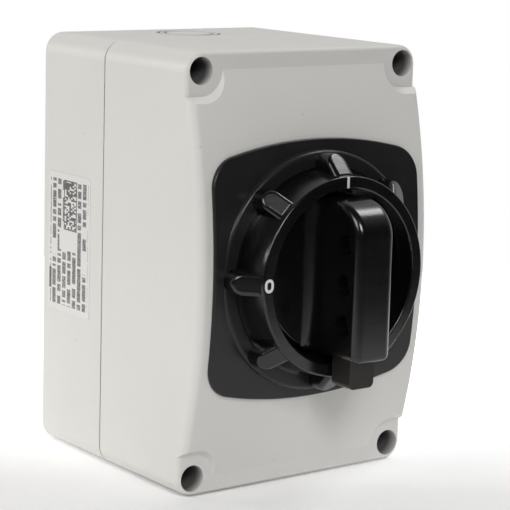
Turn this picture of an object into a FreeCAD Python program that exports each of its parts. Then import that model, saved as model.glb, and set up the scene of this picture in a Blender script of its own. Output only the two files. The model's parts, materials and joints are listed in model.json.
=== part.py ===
import FreeCAD, Part
import math
import os

from FreeCAD import Vector

# Rotary isolator switch in a two-part moulded enclosure, with a padlockable handle.
# Millimetres. The wall face of the enclosure lies in the plane Y = 0 and the switch faces -Y.
# X is to the right as seen from the front, Z is up, and the origin is the middle of the wall face.
# The lists of depths in this file are Y values, so they are negative in front of the wall.

# ---------------------------------------------------------------- enclosure
WIDTH = 85.0
HEIGHT = 130.0
WALL = 2.8
CORNER_RADIUS = 6.0
REAR_WALL = 3.0
REAR_EDGE_RADIUS = 1.6
Y_SEAM = -34.5
Y_PADS = -77.0
PAD_EDGE_RADIUS = 1.3
SEAM_CHAMFER = 0.2
SEAM_GAP = 0.5

CROWN_RISE = 9.0
CROWN_HALF_HEIGHT = 59.7
CROWN_RADIUS = (CROWN_HALF_HEIGHT ** 2 + CROWN_RISE ** 2) / (2 * CROWN_RISE)
CROWN_INNER_HALF_HEIGHT = 48.0
CROWN_EDGE_RADIUS = 2.4
CROWN_ROOT = 12.0
Y_CROWN = Y_PADS - CROWN_RISE

WELL_X = 37.3
WELL_Z = 59.5
WELL_RADIUS = 4.0
WELL_COLUMN_RADIUS = 5.1
Y_WELL_STEP = -46.0
WELL_SEAT_RADIUS = 3.6
Y_WELL_FLOOR = -41.5
NOTCH_RADIUS = 7.3
NOTCH_SLOPE = 2.0 / 3.0
NOTCH_REACH = 20.0

GASKET_INSET = 1.0
GASKET_WIDTH = 1.3
GASKET_DEPTH = 1.6

COVER_SCREW_RADIUS = 2.0
COVER_SCREW_HEAD_RADIUS = 3.5
COVER_SCREW_HEAD_HEIGHT = 3.0
COVER_SCREW_HOLE_RADIUS = 2.2
COVER_SCREW_TIP = -16.0
SCREW_SEAL_THICKNESS = 1.0
PILLAR_HOLE_END = -14.0

KNOCKOUT_RADIUS = 10.25
KNOCKOUT_INNER_RADIUS = 8.15
KNOCKOUT_GROOVE = 1.2
KNOCKOUT_GROOVE_DEPTH = 1.8
KNOCKOUT_Y = Y_SEAM / 2

WALL_HOLE_X = 30.0
WALL_HOLE_Z = 50.0
WALL_HOLE_RADIUS = 2.25
WALL_HOLE_BOSS_RADIUS = 6.0
WALL_HOLE_BOSS_HEIGHT = 1.5

REAR_POCKET_DEPTH = 0.8
REAR_POCKET_WIDTH = 44.0
REAR_POCKET_HEIGHT = 42.0
REAR_POCKET_Z = 31.0
REAR_RIB_WIDTH = 1.6
REAR_RIB_COUNT = 3

LABEL_THICKNESS = 0.15
LABEL_CORNER_RADIUS = 1.0
LABEL_Y = (-28.0, -4.0)
LABEL_Z = (-21.0, 22.5)

# ---------------------------------------------------------------- operator
AXIS_Z = 0.6
PLATE_HALF_WIDTH = 38.0
PLATE_HALF_HEIGHT = 38.6
PLATE_BOW_RADIUS = 130.0
PLATE_CORNER_RADIUS = 9.5
PLATE_THICKNESS = 1.2
PLATE_EDGE_RADIUS = 0.5
PLATE_HOLE_RADIUS = 12.0
STAGE_RADIUS = 35.6
STAGE_EDGE_RADIUS = 1.2
Y_STAGE = -87.4
PLATE_GASKET_RADIUS = 20.0
PLATE_GASKET_WIDTH = 1.5
PLATE_GASKET_RISE = 0.9

RING_OUTER_ROOT = 30.3
RING_OUTER_FRONT = 29.4
RING_INNER_FRONT = 25.8
RING_INNER_ROOT = 24.4
RING_FLOOR_HOLE = 15.0
RING_FLOOR = 2.1
RING_EDGE_RADIUS = 0.6
RING_LIP_RADIUS = 31.2
RING_LIP_HEIGHT = 0.7
Y_RING = -98.5

LUG_COUNT = 8
LUG_WIDTH = 6.8
LUG_ROOT = 26.8
LUG_NOSE = 35.3
LUG_TOP_RADIUS = 29.6
Y_LUG_NOSE = -91.6
Y_LUG_TOP = -97.2
LUG_EDGE_RADIUS = 1.5
LUG_NOSE_RADIUS = 3.3

MARK_DEPTH = 0.3
ZERO_CENTRE = 27.5
ZERO_WIDTH = 3.1
ZERO_HEIGHT = 4.0
ZERO_STROKE = 0.85
ONE_CENTRE = 27.65
ONE_WIDTH = 0.9
ONE_HEIGHT = 3.3

RING_SCREW_OFFSET = 19.5
RING_SCREW_RADIUS = 1.4
RING_SCREW_HEAD_RADIUS = 2.8
RING_SCREW_BOSS_RADIUS = 3.8
RING_SCREW_HEAD_HEIGHT = 2.0
Y_RING_SCREW_SEAT = -81.9
RING_SCREW_TIP = -94.5

HUB_RADIUS = 9.0
BUSH_CLEARANCE = 0.06
BUSH_RADIUS = 11.9
BUSH_FLANGE_RADIUS = 13.6
BUSH_FLANGE = 1.5
Y_BUSH_END = -79.3
COVER_HOLE_RADIUS = 12.0
NUT_ACROSS_FLATS = 28.0
NUT_THICKNESS = 3.0
NUT_SEAT_RADIUS = 17.5
Y_NUT_SEAT = -82.4

# ---------------------------------------------------------------- handle
GRIP_HALF_WIDTH = 6.6
GRIP_EDGE_RADIUS = 2.4
Y_GRIP = -112.5
GRIP_BOTTOM = -22.6
GRIP_BOTTOM_RADIUS = 1.6
GRIP_TOP = 23.6
GRIP_ROOT_RADIUS = 23.8
GRIP_SWEEP_DEPTH = 12.5
GRIP_SWEEP_HEIGHT = 10.4
FLARE_START_Y = -98.0
FLARE_HALF_WIDTH = 10.5
SKIRT_RADIUS = 23.0
SKIRT_GAP = 0.35
SKIRT_THICKNESS = 2.0
SKIRT_EDGE_RADIUS = 0.7
Y_SKIRT_BACK = Y_STAGE - RING_FLOOR - SKIRT_GAP
Y_SKIRT_FRONT = Y_SKIRT_BACK - SKIRT_THICKNESS
Y_HUB_END = -76.5

GRIP_SCREW_OFFSET = 17.0
GRIP_SCREW_RADIUS = 1.2
GRIP_SCREW_HEAD_RADIUS = 2.3
GRIP_SCREW_HEAD_HEIGHT = 1.1
GRIP_SCREW_SINK = 0.1
GRIP_SCREW_TIP = -96.5
Y_GRIP_SCREW_SEAT = Y_SKIRT_BACK - GRIP_SCREW_HEAD_HEIGHT - GRIP_SCREW_SINK

PADLOCK_RADIUS = 3.2
PADLOCK_PITCH = 11.75
PADLOCK_MIDDLE_Z = 0.0
Y_PADLOCK = -106.0

SLIDE_TRAVEL = 4.0
SLIDE_GAP = 0.2
BLADE_HALF_WIDTH = 2.4
BLADE_HOLE_RADIUS = 3.35
Y_BLADE = (-110.2, -101.4)
BLADE_TOP = 17.6
BLADE_SHOULDER_Y = -107.0
BLADE_SHOULDER_Z = 13.9
TAB_HALF_WIDTH = 4.5
Y_TAB = (-107.5, -99.5)
TAB_BOTTOM = -30.6
TAB_TOP = -20.8
TAB_RADIUS = 1.6
SPUR_Z = (-12.0, -9.6)
SPUR_DEPTH = -98.0
CHANNEL_TOP = 8.0
CHANNEL_HALF_WIDTH = 1.9
Y_CHANNEL = -97.5
SLIDE_SPRING_RADIUS = 1.35
SLIDE_SPRING_WIRE = 0.22
SLIDE_SPRING_COILS = 9

# ---------------------------------------------------------------- shafts
SHAFT_SIDE = 7.0
SOCKET_SIDE = 7.1
Y_DRIVE_SHAFT = (-96.0, -67.2)
Y_SWITCH_SHAFT = (-66.6, -8.4)
COUPLER_RADIUS = 7.6
Y_COUPLER = (-73.0, -61.0)
COUPLER_MOUTH_RADIUS = 5.5
COUPLER_MOUTH_DEPTH = 2.0
SEAL_GROOVE_RADIUS = 7.6
Y_SEAL = (-86.0, -84.4)
SEAL_REACH = 0.04
CIRCLIP_INNER = 8.0
CIRCLIP_OUTER = 10.6
CIRCLIP_OPENING = 5.0
Y_CIRCLIP = (-79.2, -78.2)
PIN_RADIUS = 1.0
PIN_HALF_LENGTH = 8.8
Y_PIN = -81.8

# ---------------------------------------------------------------- switch
POLE_COUNT = 4
POLE_PITCH = 9.0
HOUSING_HALF_WIDTH = 22.0
HOUSING_HALF_HEIGHT = 22.5
HOUSING_CORNER = 1.6
HOUSING_WEB = 1.8
ARC_CHAMBER_RADIUS = 13.5
BEARING_RADIUS = 8.05
COLLAR_RADIUS = 8.0
ROTOR_RADIUS = 9.5
ROTOR_GAP = 0.3
CONTACT_DEPTH = 4.8
CONTACT_THICKNESS = 1.2
CONTACT_HALF_WIDTH = 3.2
CONTACT_TIP = 10.3
CONTACT_LEG = (15.5, 19.0)
CONTACT_REACH = 31.0
POCKET_GAP = 0.1
BRIDGE_GAP = 0.15
BRIDGE_LEAF = 0.6
BRIDGE_REACH = 12.9
BRIDGE_HALF_WIDTH = 3.0
BRIDGE_CORE_RADIUS = 7.6
TERMINAL_SPACING = 9.0
TERMINAL_Z = 27.0
TERMINAL_SCREW_RADIUS = 1.7
TERMINAL_HEAD_RADIUS = 3.0
TERMINAL_HEAD_HEIGHT = 2.2
SHELF_THICKNESS = 3.0
SHELF_HALF_WIDTH = 4.2
CLAMP_HALF_SIZE = 3.7
CLAMP_THICKNESS = 1.1
CLAMP_LIP = 0.45
CLAMP_LIP_LENGTH = 1.1
TERMINAL_SCREW_LENGTH = 3.9

Y_POST = -8.0
POST_X = 25.5
POST_RADIUS = 4.5
PLATE_MOUNT_THICKNESS = 2.5
PLATE_MOUNT_HALF_WIDTH = 30.0
PLATE_MOUNT_HALF_HEIGHT = 15.0
MOUNT_SCREW_RADIUS = 2.0
MOUNT_HEAD_RADIUS = 3.4
MOUNT_HEAD_HEIGHT = 2.4
Y_STACK = Y_POST - PLATE_MOUNT_THICKNESS

MECHANISM_DEPTH = 12.0
MECHANISM_CHAMBER_RADIUS = 12.2
MECHANISM_CAP = 2.0
Y_MECHANISM = Y_STACK - POLE_COUNT * POLE_PITCH
Y_CAP = Y_MECHANISM - MECHANISM_DEPTH
DETENT_RADIUS = 10.0
DETENT_WHEEL = (4.0, 10.0)
DETENT_NOTCH_RADIUS = 2.2
DETENT_NOTCH_CENTRE = 11.4
DETENT_COUNT = 4
PLUNGER_HALF_SIZE = 2.5
PLUNGER_GAP = 0.15
PLUNGER_Z = (10.35, 15.5)
PLUNGER_NOSE_RADIUS = 1.9
PLUNGER_PIN_RADIUS = 0.9
PLUNGER_PIN_TOP = 17.0
PLUNGER_CHANNEL_TOP = 20.5
PLUNGER_SPRING_RADIUS = 1.6
PLUNGER_SPRING_WIRE = 0.3
PLUNGER_SPRING_COILS = 4

TIE_SCREW_X = 18.3
TIE_SCREW_Z = 12.0
TIE_SCREW_RADIUS = 1.6
TIE_SCREW_GAP = 0.15
TIE_HEAD_RADIUS = 2.9
TIE_HEAD_HEIGHT = 2.2

EARTH_Z = -44.0
EARTH_HALF_LENGTH = 14.0
EARTH_HALF_WIDTH = 3.5
EARTH_THICKNESS = 6.0
EARTH_SCREW_X = 8.0
EARTH_SCREW_RADIUS = 2.0
EARTH_HEAD_RADIUS = 3.3
EARTH_HEAD_HEIGHT = 2.4
EARTH_SCREW_TIP = -3.5
EARTH_RIB = 1.2

# ---------------------------------------------------------------- shared
RECESS_WIDTH = 1.0
RECESS_DEPTH = 1.3
RECESS_REACH_SHARE = 0.66
RECESS_DEPTH_SHARE = 0.6
HEAD_EDGE_SHARE = 0.25
CUT_MARGIN = 1.0
PICK_MARGIN = 0.01
CIRCLE_BEZIER = 0.5523
DIAGONAL = math.sqrt(0.5)
X_AXIS = Vector(1, 0, 0)
Y_AXIS = Vector(0, 1, 0)
AXIS_POINT = Vector(0, 0, AXIS_Z)


# ---------------------------------------------------------------- shape helpers
def block(x_span, y_span, z_span):
    """Box between two values on each axis, given in either order."""
    low = Vector(min(x_span), min(y_span), min(z_span))
    high = Vector(max(x_span), max(y_span), max(z_span))
    size = high - low
    return Part.makeBox(size.x, size.y, size.z, low)


def cylinder(x, z, radius, y_span):
    """Round bar along Y."""
    length = abs(y_span[1] - y_span[0])
    return Part.makeCylinder(radius, length, Vector(x, min(y_span), z), Y_AXIS)


def tube(x, z, inner, outer, y_span):
    return cylinder(x, z, outer, y_span).cut(cylinder(x, z, inner, y_span))


def slab(width, height, radius, y_span, z=0.0):
    """Rectangle in the XZ plane with round corners, extruded along Y."""
    body = block((-width / 2, width / 2), y_span, (z - height / 2, z + height / 2))
    return body.makeFillet(radius, edges_along(body, Y_AXIS))


def edges_along(shape, direction):
    found = []
    for edge in shape.Edges:
        run = edge.Vertexes[-1].Point - edge.Vertexes[0].Point
        if run.Length > 0 and run.cross(direction).Length < 1e-6 * run.Length:
            found.append(edge)
    return found


def edges_at_depth(shape, y):
    """Edges that lie in the plane of one Y value."""
    box_of = [(edge, edge.BoundBox) for edge in shape.Edges]
    return [edge for edge, box in box_of if abs(box.YMin - y) < 1e-4 and abs(box.YMax - y) < 1e-4]


def prism(points, travel):
    """Polygon swept along a vector."""
    wire = Part.makePolygon(points + [points[0]])
    return Part.Face(wire).extrude(travel)


def joined(shapes):
    """Shapes that touch or overlap, made into one solid without seams."""
    whole = shapes[0]
    for shape in shapes[1:]:
        whole = whole.fuse(shape)
    return whole.removeSplitter()


def square_bar(side, y_span):
    half = side / 2
    return block((-half, half), y_span, (AXIS_Z - half, AXIS_Z + half))


def corners(x, z):
    """The four points at plus and minus x and z."""
    return [(side * x, end * z) for side in (-1, 1) for end in (-1, 1)]


def screw(x, z, radius, head_radius, head_height, y_seat, y_tip):
    """Cheese-head screw with a cross recess, driven from its seat towards its tip."""
    outward = math.copysign(1.0, y_seat - y_tip)
    y_top = y_seat + outward * head_height
    head = cylinder(x, z, head_radius, (y_seat, y_top))
    head = head.makeFillet(head_height * HEAD_EDGE_SHARE, edges_at_depth(head, y_top))
    body = head.fuse(cylinder(x, z, radius, (y_seat, y_tip))).removeSplitter()
    reach = head_radius * RECESS_REACH_SHARE
    half = RECESS_WIDTH / 2
    depths = (y_top, y_top - outward * min(RECESS_DEPTH, head_height * RECESS_DEPTH_SHARE))
    body = body.cut(block((x - reach, x + reach), depths, (z - half, z + half)))
    return body.cut(block((x - half, x + half), depths, (z - reach, z + reach)))


def coil_spring(radius, wire, coils, z_start, z_end):
    """Helix along Z that starts at the origin's X and Y."""
    length = z_end - z_start
    helix = Part.makeHelix(length / coils, length, radius)
    section = Part.Wire(Part.makeCircle(wire, Vector(radius, 0, 0), Y_AXIS))
    spring = Part.Wire(helix.Edges).makePipeShell([section], True, True)
    spring.translate(Vector(0, 0, z_start))
    return spring


# ---------------------------------------------------------------- enclosure
def crown_block(y_peak, radius, half_width, half_height, y_back):
    """Bar along X whose front is an arc that is highest at Z = 0."""
    y_end = y_peak + radius - math.sqrt(radius ** 2 - half_height ** 2)
    low = Vector(-half_width, y_end, -half_height)
    high = Vector(-half_width, y_end, half_height)
    front = Part.Arc(low, Vector(-half_width, y_peak, 0), high).toShape()
    back_high = Vector(-half_width, y_back, half_height)
    back_low = Vector(-half_width, y_back, -half_height)
    rest = Part.makePolygon([high, back_high, back_low, low])
    outline = Part.Wire([front] + rest.Edges)
    return Part.Face(outline).extrude(Vector(2 * half_width, 0, 0))


def notch_outline(side, end, radius, y):
    """One corner notch: an arc round the screw well, carried straight out past both sides."""
    diagonal = radius * DIAGONAL
    out_x = WELL_X + NOTCH_REACH
    out_z = WELL_Z + NOTCH_REACH
    start = Vector(side * WELL_X, y, end * (WELL_Z - radius))
    middle = Vector(side * (WELL_X - diagonal), y, end * (WELL_Z - diagonal))
    finish = Vector(side * (WELL_X - radius), y, end * WELL_Z)
    arc = Part.Arc(start, middle, finish).toShape()
    straight = [
        finish,
        Vector(side * (WELL_X - radius), y, end * out_z),
        Vector(side * out_x, y, end * out_z),
        Vector(side * out_x, y, end * (WELL_Z - radius)),
        start,
    ]
    return Part.Wire([arc] + Part.makePolygon(straight).Edges)


def crown_notch(side, end):
    """Space cleared over one corner pad, straight at the pad and sloping back above it."""
    y_top = Y_CROWN - CUT_MARGIN
    root = notch_outline(side, end, NOTCH_RADIUS, Y_PADS + CROWN_ROOT)
    straight = Part.Face(root).extrude(Vector(0, -CROWN_ROOT, 0))
    wide = NOTCH_RADIUS + NOTCH_SLOPE * (Y_PADS - y_top)
    lower = notch_outline(side, end, NOTCH_RADIUS, Y_PADS)
    upper = notch_outline(side, end, wide, y_top)
    return straight.fuse(Part.makeLoft([lower, upper], True, True))


def make_crown():
    half_width = WIDTH / 2
    body = crown_block(Y_CROWN, CROWN_RADIUS, half_width, CROWN_HALF_HEIGHT, Y_PADS + CROWN_ROOT)
    arcs = [edge for edge in body.Edges if edge.Curve.TypeId == "Part::GeomCircle"]
    body = body.makeFillet(CROWN_EDGE_RADIUS, arcs)
    for side, end in corners(1, 1):
        body = body.cut(crown_notch(side, end))
    return body


def rim_groove():
    """Ring in the middle of the wall, open at the seam, that the gasket lies in."""
    depths = (Y_SEAM, Y_SEAM - GASKET_DEPTH)
    inset = GASKET_INSET
    outer = slab(WIDTH - 2 * inset, HEIGHT - 2 * inset, CORNER_RADIUS - inset, depths)
    inset = GASKET_INSET + GASKET_WIDTH
    inner = slab(WIDTH - 2 * inset, HEIGHT - 2 * inset, CORNER_RADIUS - inset, depths)
    return outer.cut(inner)


def inner_space(y_span):
    return slab(WIDTH - 2 * WALL, HEIGHT - 2 * WALL, CORNER_RADIUS - WALL, y_span)


def make_cover():
    y_rim = Y_SEAM - SEAM_GAP
    body = slab(WIDTH, HEIGHT, CORNER_RADIUS, (y_rim, Y_PADS))
    body = body.makeFillet(PAD_EDGE_RADIUS, edges_at_depth(body, Y_PADS))
    body = body.makeChamfer(SEAM_CHAMFER, edges_at_depth(body, y_rim))
    inset = 2 * GASKET_INSET
    rim = slab(WIDTH - inset, HEIGHT - inset, CORNER_RADIUS - GASKET_INSET, (Y_SEAM, y_rim))
    shell = joined([body, rim, make_crown()])

    half_width = WIDTH / 2 - WALL
    space = inner_space((Y_SEAM, Y_PADS + WALL))
    space = space.fuse(crown_block(
        Y_CROWN + WALL, CROWN_RADIUS - WALL, half_width, CROWN_INNER_HALF_HEIGHT, Y_PADS + CROWN_ROOT))
    for x, z in corners(WELL_X, WELL_Z):
        space = space.cut(cylinder(x, z, WELL_COLUMN_RADIUS, (Y_SEAM, Y_PADS)))
    for x, z in corners(RING_SCREW_OFFSET, RING_SCREW_OFFSET):
        space = space.cut(cylinder(x, z + AXIS_Z, RING_SCREW_BOSS_RADIUS, (Y_RING_SCREW_SEAT, Y_CROWN)))
    space = space.cut(cylinder(0, AXIS_Z, NUT_SEAT_RADIUS, (Y_NUT_SEAT, Y_CROWN)))
    shell = shell.cut(space)

    for x, z in corners(WELL_X, WELL_Z):
        shell = shell.cut(cylinder(x, z, WELL_RADIUS, (Y_WELL_STEP, Y_PADS)))
        shell = shell.cut(cylinder(x, z, WELL_SEAT_RADIUS, (Y_WELL_FLOOR, Y_WELL_STEP)))
        shell = shell.cut(cylinder(x, z, COVER_SCREW_HOLE_RADIUS, (Y_SEAM, Y_WELL_FLOOR)))
    for x, z in corners(RING_SCREW_OFFSET, RING_SCREW_OFFSET):
        shell = shell.cut(cylinder(x, z + AXIS_Z, RING_SCREW_RADIUS, (Y_RING_SCREW_SEAT, Y_CROWN)))
    shell = shell.cut(cylinder(0, AXIS_Z, COVER_HOLE_RADIUS, (Y_PADS, Y_CROWN)))
    return shell.cut(rim_groove())


def knockout_grooves(end):
    """Two concentric break-out grooves in the top or bottom wall of the base."""
    z_face = end * HEIGHT / 2
    direction = Vector(0, 0, -end)
    centre = Vector(0, KNOCKOUT_Y, z_face)
    grooves = []
    for radius in (KNOCKOUT_RADIUS, KNOCKOUT_INNER_RADIUS):
        outer = Part.makeCylinder(radius, KNOCKOUT_GROOVE_DEPTH, centre, direction)
        inner = Part.makeCylinder(radius - KNOCKOUT_GROOVE, KNOCKOUT_GROOVE_DEPTH, centre, direction)
        grooves.append(outer.cut(inner))
    return grooves[0].fuse(grooves[1])


def rear_pocket(end):
    """Shallow recess in the wall face, crossed by ribs."""
    middle = end * REAR_POCKET_Z
    pocket = slab(REAR_POCKET_WIDTH, REAR_POCKET_HEIGHT, CORNER_RADIUS, (0, -REAR_POCKET_DEPTH), middle)
    step = REAR_POCKET_HEIGHT / (REAR_RIB_COUNT + 1)
    half = REAR_RIB_WIDTH / 2
    for number in range(REAR_RIB_COUNT):
        z = middle - REAR_POCKET_HEIGHT / 2 + (number + 1) * step
        rib = block((-REAR_POCKET_WIDTH, REAR_POCKET_WIDTH), (0, -REAR_POCKET_DEPTH), (z - half, z + half))
        pocket = pocket.cut(rib)
    return pocket


def make_base():
    body = slab(WIDTH, HEIGHT, CORNER_RADIUS, (0, Y_SEAM))
    body = body.makeFillet(REAR_EDGE_RADIUS, edges_at_depth(body, 0))
    body = body.makeChamfer(SEAM_CHAMFER, edges_at_depth(body, Y_SEAM))
    floor = -REAR_WALL
    space = inner_space((floor, Y_SEAM))
    for x, z in corners(WELL_X, WELL_Z):
        space = space.cut(cylinder(x, z, WELL_COLUMN_RADIUS, (floor, Y_SEAM)))
    body = body.cut(space)

    additions = [body]
    for x, z in corners(WALL_HOLE_X, WALL_HOLE_Z):
        boss_top = floor - WALL_HOLE_BOSS_HEIGHT
        additions.append(cylinder(x, z, WALL_HOLE_BOSS_RADIUS, (floor, boss_top)))
    for side in (-1, 1):
        additions.append(cylinder(side * POST_X, AXIS_Z, POST_RADIUS, (floor, Y_POST)))
        rib_x = side * (EARTH_HALF_LENGTH + EARTH_RIB)
        edge_x = side * EARTH_HALF_LENGTH
        rib_z = (EARTH_Z - EARTH_HALF_WIDTH, EARTH_Z + EARTH_HALF_WIDTH)
        additions.append(block((rib_x, edge_x), (floor, floor - EARTH_THICKNESS / 2), rib_z))
    body = joined(additions)

    for x, z in corners(WALL_HOLE_X, WALL_HOLE_Z):
        body = body.cut(cylinder(x, z, WALL_HOLE_RADIUS, (0, floor - WALL_HOLE_BOSS_HEIGHT)))
    for x, z in corners(WELL_X, WELL_Z):
        body = body.cut(cylinder(x, z, COVER_SCREW_RADIUS, (PILLAR_HOLE_END, Y_SEAM)))
    for side in (-1, 1):
        body = body.cut(cylinder(side * POST_X, AXIS_Z, MOUNT_SCREW_RADIUS, (floor, Y_POST)))
        body = body.cut(knockout_grooves(side))
        body = body.cut(rear_pocket(side))
    return body


def make_cover_screws():
    seat = Y_WELL_FLOOR - SCREW_SEAL_THICKNESS
    return Part.makeCompound([
        screw(x, z, COVER_SCREW_RADIUS, COVER_SCREW_HEAD_RADIUS, COVER_SCREW_HEAD_HEIGHT, seat,
              COVER_SCREW_TIP)
        for x, z in corners(WELL_X, WELL_Z)])


def make_cover_screw_seals():
    depths = (Y_WELL_FLOOR, Y_WELL_FLOOR - SCREW_SEAL_THICKNESS)
    return Part.makeCompound([
        tube(x, z, COVER_SCREW_RADIUS, COVER_SCREW_HEAD_RADIUS, depths)
        for x, z in corners(WELL_X, WELL_Z)])


def make_rating_label():
    face = -WIDTH / 2
    label = block((face, face - LABEL_THICKNESS), LABEL_Y, LABEL_Z)
    return label.makeFillet(LABEL_CORNER_RADIUS, edges_along(label, X_AXIS))


# ---------------------------------------------------------------- faceplate and ring
def plate_outline_block():
    """Straight sides and bowed ends, with round corners, long enough in Y to be trimmed."""
    y = Y_PADS
    edge_z = PLATE_HALF_HEIGHT - PLATE_BOW_RADIUS
    edge_z += math.sqrt(PLATE_BOW_RADIUS ** 2 - PLATE_HALF_WIDTH ** 2)
    x = PLATE_HALF_WIDTH
    top_left = Vector(-x, y, AXIS_Z + edge_z)
    top_right = Vector(x, y, AXIS_Z + edge_z)
    bottom_left = Vector(-x, y, AXIS_Z - edge_z)
    bottom_right = Vector(x, y, AXIS_Z - edge_z)
    outline = Part.Wire([
        Part.Arc(top_left, Vector(0, y, AXIS_Z + PLATE_HALF_HEIGHT), top_right).toShape(),
        Part.makeLine(top_right, bottom_right),
        Part.Arc(bottom_right, Vector(0, y, AXIS_Z - PLATE_HALF_HEIGHT), bottom_left).toShape(),
        Part.makeLine(bottom_left, top_left),
    ])
    body = Part.Face(outline).extrude(Vector(0, 2 * Y_CROWN - 2 * Y_PADS, 0))
    return body.makeFillet(PLATE_CORNER_RADIUS, edges_along(body, Y_AXIS))


def cover_surface(offset):
    """Everything behind the curved front of the cover, grown forwards by an offset."""
    return crown_block(
        Y_CROWN - offset, CROWN_RADIUS + offset, WIDTH, CROWN_HALF_HEIGHT, Y_PADS + CROWN_ROOT)


def plate_gasket_ring():
    depths = (Y_PADS, Y_CROWN - PLATE_GASKET_RISE)
    return tube(0, AXIS_Z, PLATE_GASKET_RADIUS, PLATE_GASKET_RADIUS + PLATE_GASKET_WIDTH, depths)


def make_faceplate():
    plate = plate_outline_block().common(cover_surface(PLATE_THICKNESS))
    front = [edge for edge in plate.Edges if edge_is_on_cover(edge, PLATE_THICKNESS)]
    plate = plate.makeFillet(PLATE_EDGE_RADIUS, front)
    stage = cylinder(0, AXIS_Z, STAGE_RADIUS, (Y_PADS, Y_STAGE))
    stage = stage.makeFillet(STAGE_EDGE_RADIUS, edges_at_depth(stage, Y_STAGE))
    plate = joined([plate, stage]).cut(cover_surface(0))
    plate = plate.cut(plate_gasket_ring())
    plate = plate.cut(cylinder(0, AXIS_Z, PLATE_HOLE_RADIUS, (Y_PADS, Y_STAGE)))
    for x, z in corners(RING_SCREW_OFFSET, RING_SCREW_OFFSET):
        plate = plate.cut(cylinder(x, z + AXIS_Z, RING_SCREW_RADIUS, (Y_PADS, Y_STAGE)))
    return plate


def edge_is_on_cover(edge, offset):
    """True if an edge lies on the cover's curved front, offset forwards."""
    centre_y = Y_CROWN + CROWN_RADIUS
    middle = (edge.FirstParameter + edge.LastParameter) / 2
    for parameter in (edge.FirstParameter, middle, edge.LastParameter):
        point = edge.valueAt(parameter)
        radius = math.hypot(point.y - centre_y, point.z)
        if abs(radius - CROWN_RADIUS - offset) > PICK_MARGIN:
            return False
    return True


def revolved(points):
    """Turn an outline of (radius, y) points about the handle's axis."""
    outline = [Vector(radius, y, AXIS_Z) for radius, y in points]
    wire = Part.makePolygon(outline + [outline[0]])
    return Part.Face(wire).revolve(AXIS_POINT, Y_AXIS, 360)


def make_lug(angle):
    half = LUG_WIDTH / 2
    outline = [
        Vector(LUG_ROOT, Y_STAGE, AXIS_Z - half),
        Vector(LUG_NOSE, Y_STAGE, AXIS_Z - half),
        Vector(LUG_NOSE, Y_LUG_NOSE, AXIS_Z - half),
        Vector(LUG_TOP_RADIUS, Y_LUG_TOP, AXIS_Z - half),
        Vector(LUG_ROOT, Y_LUG_TOP, AXIS_Z - half),
    ]
    lug = prism(outline, Vector(0, 0, LUG_WIDTH))
    nose_sides = [
        edge for edge in edges_along(lug, Y_AXIS) if edge.BoundBox.XMin > LUG_NOSE - PICK_MARGIN]
    lug = lug.makeFillet(LUG_NOSE_RADIUS, nose_sides)
    boxes = [(edge, edge.BoundBox) for edge in lug.Edges]
    front = [
        edge for edge, box in boxes
        if box.YMax < Y_LUG_NOSE + PICK_MARGIN and box.XMin > LUG_ROOT + PICK_MARGIN]
    lug = lug.makeFillet(LUG_EDGE_RADIUS, front)
    lug.rotate(AXIS_POINT, Y_AXIS, angle)
    return lug


def zero_mark():
    """Oval ring for the off position, at nine o'clock."""
    x = -ZERO_CENTRE
    depths = (Y_RING, Y_RING + MARK_DEPTH)
    half_width = ZERO_WIDTH / 2
    half_height = ZERO_HEIGHT / 2
    outer = oval(x, AXIS_Z, half_width, half_height, depths)
    inner = oval(x, AXIS_Z, half_width - ZERO_STROKE, half_height - ZERO_STROKE, depths)
    return outer.cut(inner)


def oval(x, z, half_width, half_height, y_span):
    """Upright bar with half-round ends, along Y."""
    straight = half_height - half_width
    body = block((x - half_width, x + half_width), y_span, (z - straight, z + straight))
    for end in (-1, 1):
        body = body.fuse(cylinder(x, z + end * straight, half_width, y_span))
    return body.removeSplitter()


def one_mark():
    """Upright bar for the on position, at twelve o'clock."""
    half_width = ONE_WIDTH / 2
    z = AXIS_Z + ONE_CENTRE
    depths = (Y_RING, Y_RING + MARK_DEPTH)
    return block((-half_width, half_width), depths, (z - ONE_HEIGHT / 2, z + ONE_HEIGHT / 2))


def make_indicator_ring():
    y_floor = Y_STAGE - RING_FLOOR
    y_lip = Y_STAGE - RING_LIP_HEIGHT
    ring = revolved([
        (RING_FLOOR_HOLE, Y_STAGE), (RING_LIP_RADIUS, Y_STAGE), (RING_LIP_RADIUS, y_lip),
        (RING_OUTER_ROOT, y_lip), (RING_OUTER_FRONT, Y_RING),
        (RING_INNER_FRONT, Y_RING), (RING_INNER_ROOT, y_floor), (RING_FLOOR_HOLE, y_floor)])
    ring = ring.makeFillet(RING_EDGE_RADIUS, edges_at_depth(ring, Y_RING))
    lugs = [make_lug(number * 360 / LUG_COUNT) for number in range(LUG_COUNT)]
    ring = joined([ring] + lugs)
    for x, z in corners(RING_SCREW_OFFSET, RING_SCREW_OFFSET):
        ring = ring.cut(cylinder(x, z + AXIS_Z, RING_SCREW_RADIUS, (Y_STAGE, RING_SCREW_TIP)))
    return ring.cut(zero_mark()).cut(one_mark())


def make_ring_screws():
    seat = Y_RING_SCREW_SEAT
    return Part.makeCompound([
        screw(x, z + AXIS_Z, RING_SCREW_RADIUS, RING_SCREW_HEAD_RADIUS, RING_SCREW_HEAD_HEIGHT, seat,
              RING_SCREW_TIP)
        for x, z in corners(RING_SCREW_OFFSET, RING_SCREW_OFFSET)])


def make_operator_bush():
    bore = HUB_RADIUS + BUSH_CLEARANCE
    barrel = tube(0, AXIS_Z, bore, BUSH_RADIUS, (Y_BUSH_END, Y_STAGE))
    flange = tube(0, AXIS_Z, bore, BUSH_FLANGE_RADIUS, (Y_STAGE, Y_STAGE - BUSH_FLANGE))
    return joined([barrel, flange])


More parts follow.
